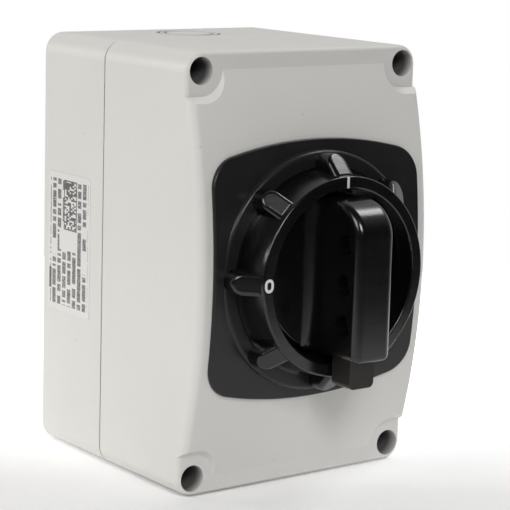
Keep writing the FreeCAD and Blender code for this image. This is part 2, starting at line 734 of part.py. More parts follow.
def make_bush_nut():
    """Hexagonal nut that pulls the bush against the inside of the cover."""
    corner = NUT_ACROSS_FLATS / math.sqrt(3)
    points = []
    for number in range(6):
        angle = math.radians(60 * number)
        points.append(Vector(corner * math.cos(angle), Y_NUT_SEAT, AXIS_Z + corner * math.sin(angle)))
    nut = prism(points, Vector(0, NUT_THICKNESS, 0))
    return nut.cut(cylinder(0, AXIS_Z, BUSH_RADIUS, (Y_NUT_SEAT, Y_NUT_SEAT + NUT_THICKNESS)))


# ---------------------------------------------------------------- handle
def grip_side():
    """Side view of the grip in the YZ plane, swept across X."""
    root = Y_SKIRT_FRONT
    x = -SKIRT_RADIUS
    bottom = AXIS_Z + GRIP_BOTTOM
    top = AXIS_Z + GRIP_TOP
    sweep_start = top - GRIP_SWEEP_HEIGHT
    sweep_end = Y_GRIP + GRIP_SWEEP_DEPTH
    radius = GRIP_BOTTOM_RADIUS
    diagonal = radius * (1 - DIAGONAL)
    sweep = Part.BezierCurve()
    sweep.setPoles([
        Vector(x, Y_GRIP, sweep_start),
        Vector(x, Y_GRIP, sweep_start + CIRCLE_BEZIER * GRIP_SWEEP_HEIGHT),
        Vector(x, sweep_end - CIRCLE_BEZIER * GRIP_SWEEP_DEPTH, top),
        Vector(x, sweep_end, top),
    ])
    corner = Part.Arc(
        Vector(x, Y_GRIP + radius, bottom),
        Vector(x, Y_GRIP + diagonal, bottom + diagonal),
        Vector(x, Y_GRIP, bottom + radius))
    outline = Part.Wire([
        Part.makeLine(Vector(x, root, bottom), Vector(x, Y_GRIP + radius, bottom)),
        corner.toShape(),
        Part.makeLine(Vector(x, Y_GRIP, bottom + radius), Vector(x, Y_GRIP, sweep_start)),
        sweep.toShape(),
        Part.makeLine(Vector(x, sweep_end, top), Vector(x, root, top)),
        Part.makeLine(Vector(x, root, top), Vector(x, root, bottom)),
    ])
    return Part.Face(outline).extrude(Vector(2 * SKIRT_RADIUS, 0, 0))


def grip_section():
    """Cross-section of the grip in the XY plane, flared at its root and swept along Z."""
    root = Y_SKIRT_FRONT
    front = Y_GRIP - CUT_MARGIN
    z = AXIS_Z - 2 * SKIRT_RADIUS
    flares = []
    for side in (-1, 1):
        flare = Part.BezierCurve()
        flare.setPoles([
            Vector(side * GRIP_HALF_WIDTH, FLARE_START_Y, z),
            Vector(side * GRIP_HALF_WIDTH, (FLARE_START_Y + root) / 2, z),
            Vector(side * (GRIP_HALF_WIDTH + FLARE_HALF_WIDTH) / 2, root, z),
            Vector(side * FLARE_HALF_WIDTH, root, z),
        ])
        flares.append(flare.toShape())
    straight = Part.makePolygon([
        Vector(-GRIP_HALF_WIDTH, FLARE_START_Y, z), Vector(-GRIP_HALF_WIDTH, front, z),
        Vector(GRIP_HALF_WIDTH, front, z), Vector(GRIP_HALF_WIDTH, FLARE_START_Y, z)])
    back = Part.makeLine(Vector(-FLARE_HALF_WIDTH, root, z), Vector(FLARE_HALF_WIDTH, root, z))
    outline = Part.Wire(Part.__sortEdges__(flares + straight.Edges + [back]))
    return Part.Face(outline).extrude(Vector(0, 0, 4 * SKIRT_RADIUS))


def grip_screw_places():
    return [(0, AXIS_Z + end * GRIP_SCREW_OFFSET) for end in (-1, 1)]


def make_handle_grip():
    """The moulded grip, open from below for the padlock slide and screwed to the hub from behind."""
    grip = grip_side().common(grip_section())
    rounded = []
    for edge in grip.Edges:
        box = edge.BoundBox
        on_flank = box.XLength < PICK_MARGIN and abs(abs(box.XMin) - GRIP_HALF_WIDTH) < PICK_MARGIN
        at_flare = box.YMin > FLARE_START_Y - PICK_MARGIN
        if on_flank and not at_flare:
            rounded.append(edge)
    grip = grip.makeFillet(GRIP_EDGE_RADIUS, rounded)
    grip = grip.cut(tube(0, AXIS_Z, GRIP_ROOT_RADIUS, 2 * SKIRT_RADIUS, (Y_STAGE, FLARE_START_Y)))
    grip = grip.cut(slide_space())
    grip = grip.cut(padlock_holes(PADLOCK_RADIUS))
    grip = grip.cut(square_bar(SHAFT_SIDE, (Y_DRIVE_SHAFT[0], Y_SKIRT_FRONT)))
    for x, z in grip_screw_places():
        grip = grip.cut(cylinder(x, z, GRIP_SCREW_RADIUS, (GRIP_SCREW_TIP, Y_SKIRT_FRONT)))
    return grip


def blade_body(half_width, z_bottom, lift=0.0, gap=0.0):
    """Flat blade with one sloping shoulder, with its top raised and its edges grown."""
    front = Y_BLADE[0] - gap
    back = Y_BLADE[1] + gap
    shoulder = BLADE_SHOULDER_Z + lift + gap
    top = BLADE_TOP + lift + gap
    outline = [
        Vector(-half_width, front, z_bottom),
        Vector(-half_width, front, shoulder),
        Vector(-half_width, BLADE_SHOULDER_Y, top),
        Vector(-half_width, back, top),
        Vector(-half_width, back, z_bottom),
    ]
    return prism(outline, Vector(2 * half_width, 0, 0))


def padlock_holes(radius):
    """The three cross holes, as round bars along X."""
    reach = 3 * GRIP_HALF_WIDTH
    bars = []
    for number in (-1, 0, 1):
        start = Vector(-reach, Y_PADLOCK, PADLOCK_MIDDLE_Z + number * PADLOCK_PITCH)
        bars.append(Part.makeCylinder(radius, 2 * reach, start, X_AXIS))
    return Part.makeCompound(bars)


def slide_space():
    """Everything the slide and its spring sweep, cut out of the grip."""
    below = TAB_BOTTOM
    space = blade_body(BLADE_HALF_WIDTH + SLIDE_GAP, below, SLIDE_TRAVEL, SLIDE_GAP)
    side = TAB_HALF_WIDTH + SLIDE_GAP
    depths = (Y_TAB[0] - SLIDE_GAP, Y_TAB[1] + SLIDE_GAP)
    tab = block((-side, side), depths, (below, TAB_TOP + SLIDE_TRAVEL + SLIDE_GAP))
    width = CHANNEL_HALF_WIDTH
    channel = block((-width, width), (Y_BLADE[1], Y_CHANNEL), (below, CHANNEL_TOP))
    return joined([space, tab, channel])


def make_handle_hub():
    """Round skirt over the floor of the ring, with the hollow spigot that turns in the bush."""
    skirt = cylinder(0, AXIS_Z, SKIRT_RADIUS, (Y_SKIRT_BACK, Y_SKIRT_FRONT))
    skirt = skirt.makeFillet(SKIRT_EDGE_RADIUS, edges_at_depth(skirt, Y_SKIRT_FRONT))
    spigot = cylinder(0, AXIS_Z, HUB_RADIUS, (Y_SKIRT_FRONT, Y_HUB_END))
    hub = joined([skirt, spigot])
    hub = hub.cut(square_bar(SHAFT_SIDE, (Y_SKIRT_FRONT, Y_HUB_END)))
    hub = hub.cut(tube(0, AXIS_Z, SEAL_GROOVE_RADIUS, HUB_RADIUS + CUT_MARGIN, Y_SEAL))
    hub = hub.cut(tube(0, AXIS_Z, CIRCLIP_INNER, HUB_RADIUS + CUT_MARGIN, Y_CIRCLIP))
    hub = hub.cut(shaft_pin_bar(HUB_RADIUS + CUT_MARGIN))
    for x, z in grip_screw_places():
        hub = hub.cut(cylinder(x, z, GRIP_SCREW_RADIUS, (Y_SKIRT_FRONT, Y_SKIRT_BACK)))
        hub = hub.cut(cylinder(x, z, GRIP_SCREW_HEAD_RADIUS, (Y_GRIP_SCREW_SEAT, Y_SKIRT_BACK)))
    return hub


def make_grip_screws():
    return Part.makeCompound([
        screw(x, z, GRIP_SCREW_RADIUS, GRIP_SCREW_HEAD_RADIUS, GRIP_SCREW_HEAD_HEIGHT, Y_GRIP_SCREW_SEAT,
              GRIP_SCREW_TIP)
        for x, z in grip_screw_places()])


def make_padlock_slide():
    blade = blade_body(BLADE_HALF_WIDTH, TAB_TOP)
    tab = block((-TAB_HALF_WIDTH, TAB_HALF_WIDTH), Y_TAB, (TAB_BOTTOM, TAB_TOP))
    lower = [edge for edge in edges_along(tab, Y_AXIS) if edge.BoundBox.ZMax < TAB_BOTTOM + PICK_MARGIN]
    tab = tab.makeFillet(TAB_RADIUS, lower)
    half = CHANNEL_HALF_WIDTH - SLIDE_GAP
    spur = block((-half, half), (Y_BLADE[1], SPUR_DEPTH), SPUR_Z)
    return joined([blade, tab, spur]).cut(padlock_holes(BLADE_HOLE_RADIUS))


def make_slide_spring():
    wire = SLIDE_SPRING_WIRE
    spring = coil_spring(
        SLIDE_SPRING_RADIUS, wire, SLIDE_SPRING_COILS, SPUR_Z[1] + wire, CHANNEL_TOP - wire)
    spring.translate(Vector(0, (Y_BLADE[1] + Y_CHANNEL) / 2, 0))
    return spring


# ---------------------------------------------------------------- shafts
def shaft_pin_bar(half_length):
    start = Vector(-half_length, Y_PIN, AXIS_Z)
    return Part.makeCylinder(PIN_RADIUS, 2 * half_length, start, X_AXIS)


def make_shaft_pin():
    return shaft_pin_bar(PIN_HALF_LENGTH)


def make_shaft_seal():
    reach = HUB_RADIUS + SEAL_REACH
    seal = tube(0, AXIS_Z, SEAL_GROOVE_RADIUS, reach, Y_SEAL)
    rims = [edge for edge in seal.Edges if edge.BoundBox.XLength > 2 * reach - PICK_MARGIN and edge.Closed]
    return seal.makeFillet((reach - SEAL_GROOVE_RADIUS) / 3, rims)


def make_hub_circlip():
    ring = tube(0, AXIS_Z, CIRCLIP_INNER, CIRCLIP_OUTER, Y_CIRCLIP)
    half = CIRCLIP_OPENING / 2
    return ring.cut(block((-half, half), Y_CIRCLIP, (AXIS_Z, AXIS_Z - CIRCLIP_OUTER - CUT_MARGIN)))


def make_drive_shaft():
    return square_bar(SHAFT_SIDE, Y_DRIVE_SHAFT).cut(shaft_pin_bar(SHAFT_SIDE))


def make_switch_shaft():
    return square_bar(SHAFT_SIDE, Y_SWITCH_SHAFT)


def make_shaft_coupler():
    body = cylinder(0, AXIS_Z, COUPLER_RADIUS, Y_COUPLER)
    body = body.cut(square_bar(SOCKET_SIDE, Y_COUPLER))
    throat = Vector(0, Y_COUPLER[0] + COUPLER_MOUTH_DEPTH, AXIS_Z)
    mouth = Part.makeCone(SHAFT_SIDE / 2, COUPLER_MOUTH_RADIUS, COUPLER_MOUTH_DEPTH, throat, -Y_AXIS)
    return body.cut(mouth)


# ---------------------------------------------------------------- switch poles
def pole_rear(number):
    return Y_STACK - number * POLE_PITCH


def terminal_x(number):
    """Terminals step sideways from pole to pole, so that each screw is reached from the front."""
    return (number - (POLE_COUNT - 1) / 2) * TERMINAL_SPACING


def contact_strip(x, end, y_span, grow=0.0):
    """Flat contact from the terminal, in along a cross leg, to the tongue at the rotor."""
    half = CONTACT_HALF_WIDTH + grow
    low = CONTACT_LEG[0] - grow
    high = CONTACT_LEG[1] + grow
    tongue = BRIDGE_HALF_WIDTH + grow
    pieces = [
        ((-tongue, tongue), (CONTACT_TIP, high)),
        ((min(-tongue, x - half), max(tongue, x + half)), (low, high)),
        ((x - half, x + half), (low, CONTACT_REACH)),
    ]
    return joined([
        block(x_span, y_span, (AXIS_Z + end * z_span[0], AXIS_Z + end * z_span[1]))
        for x_span, z_span in pieces])


def make_pole_housing(number):
    rear = pole_rear(number)
    front = rear - POLE_PITCH
    contact_rear = rear - CONTACT_DEPTH
    x = terminal_x(number)
    body = slab(2 * HOUSING_HALF_WIDTH, 2 * HOUSING_HALF_HEIGHT, HOUSING_CORNER, (rear, front), AXIS_Z)
    for end in (-1, 1):
        shelf_z = (AXIS_Z + end * (HOUSING_HALF_HEIGHT - CUT_MARGIN), AXIS_Z + end * CONTACT_REACH)
        shelf_x = (x - SHELF_HALF_WIDTH, x + SHELF_HALF_WIDTH)
        body = body.fuse(block(shelf_x, (contact_rear, contact_rear + SHELF_THICKNESS), shelf_z))
    body = body.removeSplitter()
    body = body.cut(cylinder(0, AXIS_Z, ARC_CHAMBER_RADIUS, (rear - HOUSING_WEB, front)))
    body = body.cut(cylinder(0, AXIS_Z, BEARING_RADIUS, (rear, front)))
    for end in (-1, 1):
        pocket = contact_strip(x, end, (contact_rear, front), POCKET_GAP)
        shelf_top = block((-WIDTH, WIDTH), (rear, front), (AXIS_Z + end * CONTACT_REACH * 2, AXIS_Z))
        body = body.cut(pocket.common(shelf_top))
        shelf_span = (contact_rear, contact_rear + SHELF_THICKNESS)
        body = body.cut(cylinder(x, AXIS_Z + end * TERMINAL_Z, TERMINAL_SCREW_RADIUS, shelf_span))
    for side in (-1, 1):
        hole = cylinder(
            side * TIE_SCREW_X, AXIS_Z + side * TIE_SCREW_Z, TIE_SCREW_RADIUS + TIE_SCREW_GAP, (rear, front))
        body = body.cut(hole)
    return body


def make_pole_bridge(number):
    """Two parallel leaves that grip the fixed tongues, joined by a sleeve round the shaft."""
    middle = pole_rear(number) - CONTACT_DEPTH - CONTACT_THICKNESS / 2
    inner = CONTACT_THICKNESS / 2 + BRIDGE_GAP
    reach = cylinder(0, AXIS_Z, BRIDGE_REACH, (middle + inner + BRIDGE_LEAF, middle - inner - BRIDGE_LEAF))
    pieces = [cylinder(0, AXIS_Z, BRIDGE_CORE_RADIUS, (middle + inner, middle - inner))]
    half = BRIDGE_HALF_WIDTH
    for side in (-1, 1):
        depths = (middle + side * inner, middle + side * (inner + BRIDGE_LEAF))
        pieces.append(cylinder(0, AXIS_Z, BRIDGE_CORE_RADIUS, depths))
        arm = block((-half, half), depths, (AXIS_Z - BRIDGE_REACH, AXIS_Z + BRIDGE_REACH))
        pieces.append(arm.common(reach))
    return joined(pieces).cut(square_bar(SOCKET_SIDE, (middle - POLE_PITCH, middle + POLE_PITCH)))


def make_pole_rotor(number):
    rear = pole_rear(number)
    body_rear = rear - HOUSING_WEB - ROTOR_GAP
    front = rear - POLE_PITCH + ROTOR_GAP
    collar = cylinder(0, AXIS_Z, COLLAR_RADIUS, (rear - ROTOR_GAP / 3, body_rear))
    body = joined([collar, cylinder(0, AXIS_Z, ROTOR_RADIUS, (body_rear, front))])
    body = body.cut(square_bar(SOCKET_SIDE, (rear, front)))
    return body.cut(make_pole_bridge(number))


def make_pole_contact(number, end):
    front = pole_rear(number) - CONTACT_DEPTH - CONTACT_THICKNESS
    x = terminal_x(number)
    strip = contact_strip(x, end, (front + CONTACT_THICKNESS, front))
    return strip.cut(cylinder(
        x, AXIS_Z + end * TERMINAL_Z, TERMINAL_SCREW_RADIUS, (front + CONTACT_THICKNESS, front)))


def terminals():
    """Position of each terminal: X, Z and the front face of its contact strip."""
    places = []
    for number in range(POLE_COUNT):
        front = pole_rear(number) - CONTACT_DEPTH - CONTACT_THICKNESS
        for end in (-1, 1):
            places.append((terminal_x(number), AXIS_Z + end * TERMINAL_Z, front))
    return places


def make_terminal_clamp(x, z, y_face):
    """Square washer with two lips that stop it turning on the strip."""
    half = CLAMP_HALF_SIZE
    body = block((x - half, x + half), (y_face, y_face - CLAMP_THICKNESS), (z - half, z + half))
    for side in (-1, 1):
        lip_x = (x + side * (half - CLAMP_LIP), x + side * half)
        lip = block(lip_x, (y_face, y_face + CLAMP_LIP_LENGTH), (z - half, z + half))
        body = body.fuse(lip)
    hole = cylinder(x, z, TERMINAL_SCREW_RADIUS, (y_face, y_face - CLAMP_THICKNESS))
    return body.removeSplitter().cut(hole)


def make_terminal_clamps():
    return Part.makeCompound([make_terminal_clamp(x, z, y) for x, z, y in terminals()])


def make_terminal_screws():
    return Part.makeCompound([
        screw(x, z, TERMINAL_SCREW_RADIUS, TERMINAL_HEAD_RADIUS, TERMINAL_HEAD_HEIGHT,
              y - CLAMP_THICKNESS, y + TERMINAL_SCREW_LENGTH)
        for x, z, y in terminals()])


# ---------------------------------------------------------------- detent mechanism
def plunger_block(z_span, half_size, end):
    middle = Y_MECHANISM - sum(DETENT_WHEEL) / 2
    depths = (middle - half_size, middle + half_size)
    return block((-half_size, half_size), depths, (AXIS_Z + end * z_span[0], AXIS_Z + end * z_span[1]))


def make_mechanism_housing():
    rear = Y_MECHANISM
    front = Y_CAP
    body = slab(2 * HOUSING_HALF_WIDTH, 2 * HOUSING_HALF_HEIGHT, HOUSING_CORNER, (rear, front), AXIS_Z)
    body = body.cut(cylinder(0, AXIS_Z, MECHANISM_CHAMBER_RADIUS, (rear - HOUSING_WEB, front)))
    body = body.cut(cylinder(0, AXIS_Z, BEARING_RADIUS, (rear, front)))
    for end in (-1, 1):
        channel = plunger_block((0, PLUNGER_CHANNEL_TOP), PLUNGER_HALF_SIZE + PLUNGER_GAP, end)
        body = body.cut(channel)
        hole = cylinder(
            end * TIE_SCREW_X, AXIS_Z + end * TIE_SCREW_Z, TIE_SCREW_RADIUS + TIE_SCREW_GAP, (rear, front))
        body = body.cut(hole)
    return body


def make_mechanism_cap():
    depths = (Y_CAP, Y_CAP - MECHANISM_CAP)
    body = slab(2 * HOUSING_HALF_WIDTH, 2 * HOUSING_HALF_HEIGHT, HOUSING_CORNER, depths, AXIS_Z)
    body = body.cut(cylinder(0, AXIS_Z, BEARING_RADIUS, depths))
    for side in (-1, 1):
        body = body.cut(cylinder(
            side * TIE_SCREW_X, AXIS_Z + side * TIE_SCREW_Z, TIE_SCREW_RADIUS + TIE_SCREW_GAP, depths))
    return body


def make_detent_wheel():
    depths = (Y_MECHANISM - DETENT_WHEEL[0], Y_MECHANISM - DETENT_WHEEL[1])
    collar = (Y_MECHANISM - ROTOR_GAP / 3, Y_CAP - MECHANISM_CAP + ROTOR_GAP / 3)
    body = joined([cylinder(0, AXIS_Z, DETENT_RADIUS, depths), cylinder(0, AXIS_Z, COLLAR_RADIUS, collar)])
    for number in range(DETENT_COUNT):
        angle = math.radians(number * 360 / DETENT_COUNT)
        x = DETENT_NOTCH_CENTRE * math.cos(angle)
        z = AXIS_Z + DETENT_NOTCH_CENTRE * math.sin(angle)
        body = body.cut(cylinder(x, z, DETENT_NOTCH_RADIUS, depths))
    return body.cut(square_bar(SOCKET_SIDE, collar))


def make_detent_plunger(end):
    body = plunger_block(PLUNGER_Z, PLUNGER_HALF_SIZE, end)
    nose_z = AXIS_Z + end * PLUNGER_Z[0]
    nose = [
        edge for edge in edges_along(body, Y_AXIS) if abs(edge.BoundBox.Center.z - nose_z) < PICK_MARGIN]
    body = body.makeFillet(PLUNGER_NOSE_RADIUS, nose)
    middle = Y_MECHANISM - sum(DETENT_WHEEL) / 2
    foot = Vector(0, middle, AXIS_Z + end * PLUNGER_Z[1])
    length = PLUNGER_PIN_TOP - PLUNGER_Z[1]
    pin = Part.makeCylinder(PLUNGER_PIN_RADIUS, length, foot, Vector(0, 0, end))
    return joined([body, pin])


def make_detent_spring(end):
    wire = PLUNGER_SPRING_WIRE
    spring = coil_spring(
        PLUNGER_SPRING_RADIUS, wire, PLUNGER_SPRING_COILS, PLUNGER_Z[1] + wire, PLUNGER_CHANNEL_TOP - wire)
    if end < 0:
        spring.rotate(Vector(0, 0, 0), X_AXIS, 180)
    spring.translate(Vector(0, Y_MECHANISM - sum(DETENT_WHEEL) / 2, AXIS_Z))
    return spring


# ---------------------------------------------------------------- fixings inside the base
def make_mounting_plate():
    depths = (Y_POST, Y_STACK)
    body = slab(2 * PLATE_MOUNT_HALF_WIDTH, 2 * PLATE_MOUNT_HALF_HEIGHT, HOUSING_CORNER, depths, AXIS_Z)
    body = body.cut(cylinder(0, AXIS_Z, BEARING_RADIUS, depths))
    for side in (-1, 1):
        body = body.cut(cylinder(side * POST_X, AXIS_Z, MOUNT_SCREW_RADIUS, depths))
        body = body.cut(cylinder(
            side * TIE_SCREW_X, AXIS_Z + side * TIE_SCREW_Z, TIE_SCREW_RADIUS, depths))
    return body


def make_mounting_screws():
    tip = (Y_POST - REAR_WALL) / 2
    return Part.makeCompound([
        screw(side * POST_X, AXIS_Z, MOUNT_SCREW_RADIUS, MOUNT_HEAD_RADIUS, MOUNT_HEAD_HEIGHT, Y_STACK, tip)
        for side in (-1, 1)])


def make_tie_screws():
    seat = Y_CAP - MECHANISM_CAP
    return Part.makeCompound([
        screw(side * TIE_SCREW_X, AXIS_Z + side * TIE_SCREW_Z, TIE_SCREW_RADIUS, TIE_HEAD_RADIUS,
              TIE_HEAD_HEIGHT, seat, Y_POST)
        for side in (-1, 1)])


def make_earth_terminal():
    depths = (-REAR_WALL, -REAR_WALL - EARTH_THICKNESS)
    z_span = (EARTH_Z - EARTH_HALF_WIDTH, EARTH_Z + EARTH_HALF_WIDTH)
    bar = block((-EARTH_HALF_LENGTH, EARTH_HALF_LENGTH), depths, z_span)
    for side in (-1, 1):
        bar = bar.cut(cylinder(side * EARTH_SCREW_X, EARTH_Z, EARTH_SCREW_RADIUS, depths))
    return bar


def make_earth_screws():
    seat = -REAR_WALL - EARTH_THICKNESS
    return Part.makeCompound([
        screw(side * EARTH_SCREW_X, EARTH_Z, EARTH_SCREW_RADIUS, EARTH_HEAD_RADIUS, EARTH_HEAD_HEIGHT,
              seat, EARTH_SCREW_TIP)
        for side in (-1, 1)])


# ---------------------------------------------------------------- export
def build_parts():
    parts = {
        "enclosure_base": make_base(),
        "enclosure_cover": make_cover(),
        "cover_gasket": rim_groove(),
        "cover_screws": make_cover_screws(),
        "cover_screw_seals": make_cover_screw_seals(),
        "rating_label": make_rating_label(),
        "faceplate": make_faceplate(),
        "faceplate_gasket": plate_gasket_ring().cut(cover_surface(0)),
        "indicator_ring": make_indicator_ring(),
        "ring_screws": make_ring_screws(),
        "position_marks": Part.makeCompound([zero_mark(), one_mark()]),
        "operator_bush": make_operator_bush(),
        "bush_nut": make_bush_nut(),
        "handle_grip": make_handle_grip(),
        "handle_hub": make_handle_hub(),
        "grip_screws": make_grip_screws(),
        "padlock_slide": make_padlock_slide(),
        "slide_spring": make_slide_spring(),
        "shaft_seal": make_shaft_seal(),
        "hub_circlip": make_hub_circlip(),
        "shaft_pin": make_shaft_pin(),
        "drive_shaft": make_drive_shaft(),
        "shaft_coupler": make_shaft_coupler(),
        "switch_shaft": make_switch_shaft(),
        "mechanism_housing": make_mechanism_housing(),
        "mechanism_cap": make_mechanism_cap(),
        "detent_wheel": make_detent_wheel(),
        "detent_plunger_upper": make_detent_plunger(1),
        "detent_plunger_lower": make_detent_plunger(-1),
        "detent_spring_upper": make_detent_spring(1),
        "detent_spring_lower": make_detent_spring(-1),
        "mounting_plate": make_mounting_plate(),
        "mounting_screws": make_mounting_screws(),
        "tie_screws": make_tie_screws(),
        "terminal_clamps": make_terminal_clamps(),
        "terminal_screws": make_terminal_screws(),
        "earth_terminal": make_earth_terminal(),
        "earth_screws": make_earth_screws(),
    }
    for number in range(POLE_COUNT):
        name = f"pole_{number + 1}"
        parts[f"{name}_housing"] = make_pole_housing(number)
        parts[f"{name}_rotor"] = make_pole_rotor(number)
        parts[f"{name}_bridge"] = make_pole_bridge(number)
        parts[f"{name}_line_contact"] = make_pole_contact(number, 1)
        parts[f"{name}_load_contact"] = make_pole_contact(number, -1)
    return parts


def main():
    os.makedirs("parts", exist_ok=True)
    for name, shape in build_parts().items():
        shape.exportStep(f"parts/{name}.step")
        print(f"{name}: {len(shape.Solids)} solid(s), {shape.Volume:.1f} mm3, valid {shape.isValid()}")


main()
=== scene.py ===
import json
import math

import bpy
from mathutils import Matrix, Vector


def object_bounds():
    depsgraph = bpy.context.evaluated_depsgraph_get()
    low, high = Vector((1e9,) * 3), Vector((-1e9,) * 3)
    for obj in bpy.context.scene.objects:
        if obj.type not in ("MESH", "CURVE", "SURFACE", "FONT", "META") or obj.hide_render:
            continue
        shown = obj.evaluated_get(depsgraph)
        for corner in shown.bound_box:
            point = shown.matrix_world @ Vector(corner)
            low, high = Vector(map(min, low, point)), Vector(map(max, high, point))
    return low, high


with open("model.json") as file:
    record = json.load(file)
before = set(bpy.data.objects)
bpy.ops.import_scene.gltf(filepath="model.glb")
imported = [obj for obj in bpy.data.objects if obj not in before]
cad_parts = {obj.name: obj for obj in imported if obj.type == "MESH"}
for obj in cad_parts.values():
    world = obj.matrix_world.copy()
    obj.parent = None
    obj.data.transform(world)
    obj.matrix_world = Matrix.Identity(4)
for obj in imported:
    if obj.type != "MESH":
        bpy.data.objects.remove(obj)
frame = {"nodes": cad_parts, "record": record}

cad_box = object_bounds()
NODES = frame["nodes"]
MM = 0.001


# ---------------------------------------------------------------- camera and light
CAMERA_PLACE = Vector((-361.5, -532.1, 110.3)) * MM
CAMERA_AHEAD = Vector((0.5940, 0.7838, -0.1812))
CAMERA_UP = Vector((0.0868, 0.1615, 0.9831))
CAMERA_LENS = 140.3
CAMERA_FILM = 36.0
CAMERA_CLIP = 0.01

LAMP_TARGET = Vector((0, -0.05, 0))
# Lamps, as (name, direction to the lamp, distance, size, light that reaches the object, colour).
# The light is irradiance over pi, so a white sheet that faces the lamp shows at about that brightness.
# Distances and sizes are in metres.
LAMPS = (
    ("left_panel", (-0.85, -0.15, 0.50), 1.1, (0.45, 0.45), 0.34, (1.0, 0.985, 0.945)),
    ("front_panel", (-0.35, -0.75, 0.55), 1.3, (0.40, 0.40), 0.42, (0.99, 0.99, 1.0)),
    ("right_panel", (0.56, -0.06, 0.82), 1.0, (0.28, 0.26), 0.20, (1.0, 1.0, 1.0)),
    ("back_panel", (-0.69, 0.67, 0.28), 1.0, (0.22, 0.22), 0.26, (1.0, 0.99, 0.97)),
)

# The world's level on the object rises with the direction's share along this axis.
WORLD_BRIGHT_SIDE = (0.75, 0.65, 0.10)
WORLD_SPAN = (0.10, 0.60)
WORLD_LEVELS = (0.03, 0.60)

# The floor's disc is in metres. The spans of its glow, along the view and out to the rim, are in millimetres.
FLOOR_RADIUS = 0.30
FLOOR_SIDES = 96
FLOOR_GAP = 0.0002
FLOOR_GLOW = (0.12, 1.1)
FLOOR_GLOW_SPAN = (-70.0, 110.0)
FLOOR_RIM_SPAN = (235.0, 300.0)

# Screw wells of the cover, in millimetres.
WELL_CENTRE = (37.3, 59.5)
WELL_REACH = 4.2
WELL_DEPTHS = (-77.0, -73.0)
WELL_FOOT = -38.0
WELL_SHADE = 0.9

# Print on the rating label, in millimetres: rows stand upright, so Y runs across them and Z along them.
PRINT_ROW = 2.9
PRINT_ROW_SHIFT = 0.1
PRINT_STROKE = (0.16, 0.84)
PRINT_ACROSS = (-27.0, -5.2)
PRINT_ALONG = (-19.0, 20.5)
PRINT_DASH = 0.75
PRINT_WORD = 3.7
TABLE_ACROSS = (-20.5, -13.0)
TABLE_ALONG = (5.0, 20.5)
TABLE_LINE = 0.4
TABLE_CELLS = (0.9, 0.55)
BLANK_ACROSS = (-20.5, -10.5)
BLANK_ALONG = (-1.5, 5.0)
BAR_ACROSS = (-6.0, -4.7)
BAR_ALONG = (-14.5, -8.0)
INK_WEIGHT = 0.86


def make_camera():
    ahead = CAMERA_AHEAD.normalized()
    right = ahead.cross(CAMERA_UP).normalized()
    up = right.cross(ahead)
    camera = bpy.data.objects.new("camera", bpy.data.cameras.new("camera"))
    camera.data.lens = CAMERA_LENS
    camera.data.sensor_width = CAMERA_FILM
    camera.data.clip_start = CAMERA_CLIP
    axes = Matrix((right, up, -ahead)).transposed()
    camera.matrix_world = Matrix.Translation(CAMERA_PLACE) @ axes.to_4x4()
    bpy.context.collection.objects.link(camera)
    bpy.context.scene.camera = camera


def make_lamp(name, direction, distance, size, light, tint):
    """Rectangular lamp that faces the middle of the object."""
    place = LAMP_TARGET + Vector(direction).normalized() * distance
    lamp_data = bpy.data.lights.new(name, "AREA")
    lamp_data.shape = "RECTANGLE"
    lamp_data.size, lamp_data.size_y = size
    lamp_data.energy = light * (math.pi * distance) ** 2
    lamp_data.color = tint
    lamp = bpy.data.objects.new(name, lamp_data)
    lamp.location = place
    lamp.rotation_euler = (LAMP_TARGET - place).to_track_quat("-Z", "Y").to_euler()
    bpy.context.collection.objects.link(lamp)


def map_range(tree, source, span, result):
    """Map one range of values to another, and hold the ends."""
    made = tree.nodes.new("ShaderNodeMapRange")
    names = ("From Min", "From Max", "To Min", "To Max")
    for name, number in zip(names, (*span, *result)):
        made.inputs[name].default_value = number
    tree.links.new(source, made.inputs["Value"])
    return made.outputs["Result"]


def make_world():
    """White to the camera. On the object it is bright from the back and right, and dark elsewhere."""
    world = bpy.data.worlds.new("studio")
    bpy.context.scene.world = world
    world.use_nodes = True
    tree = world.node_tree
    tree.nodes.clear()
    direction = tree.nodes.new("ShaderNodeTexCoord")
    side = tree.nodes.new("ShaderNodeVectorMath")
    side.operation = "DOT_PRODUCT"
    tree.links.new(direction.outputs["Generated"], side.inputs[0])
    side.inputs[1].default_value = WORLD_BRIGHT_SIDE
    level = map_range(tree, side.outputs["Value"], WORLD_SPAN, WORLD_LEVELS)
    ray = tree.nodes.new("ShaderNodeLightPath")
    strength = tree.nodes.new("ShaderNodeMix")
    tree.links.new(ray.outputs["Is Camera Ray"], strength.inputs["Factor"])
    tree.links.new(level, strength.inputs["A"])
    strength.inputs["B"].default_value = 1.0
    background = tree.nodes.new("ShaderNodeBackground")
    output = tree.nodes.new("ShaderNodeOutputWorld")
    tree.links.new(strength.outputs["Result"], background.inputs["Strength"])
    tree.links.new(background.outputs["Background"], output.inputs["Surface"])
    background.inputs["Color"].default_value = (1, 1, 1, 1)


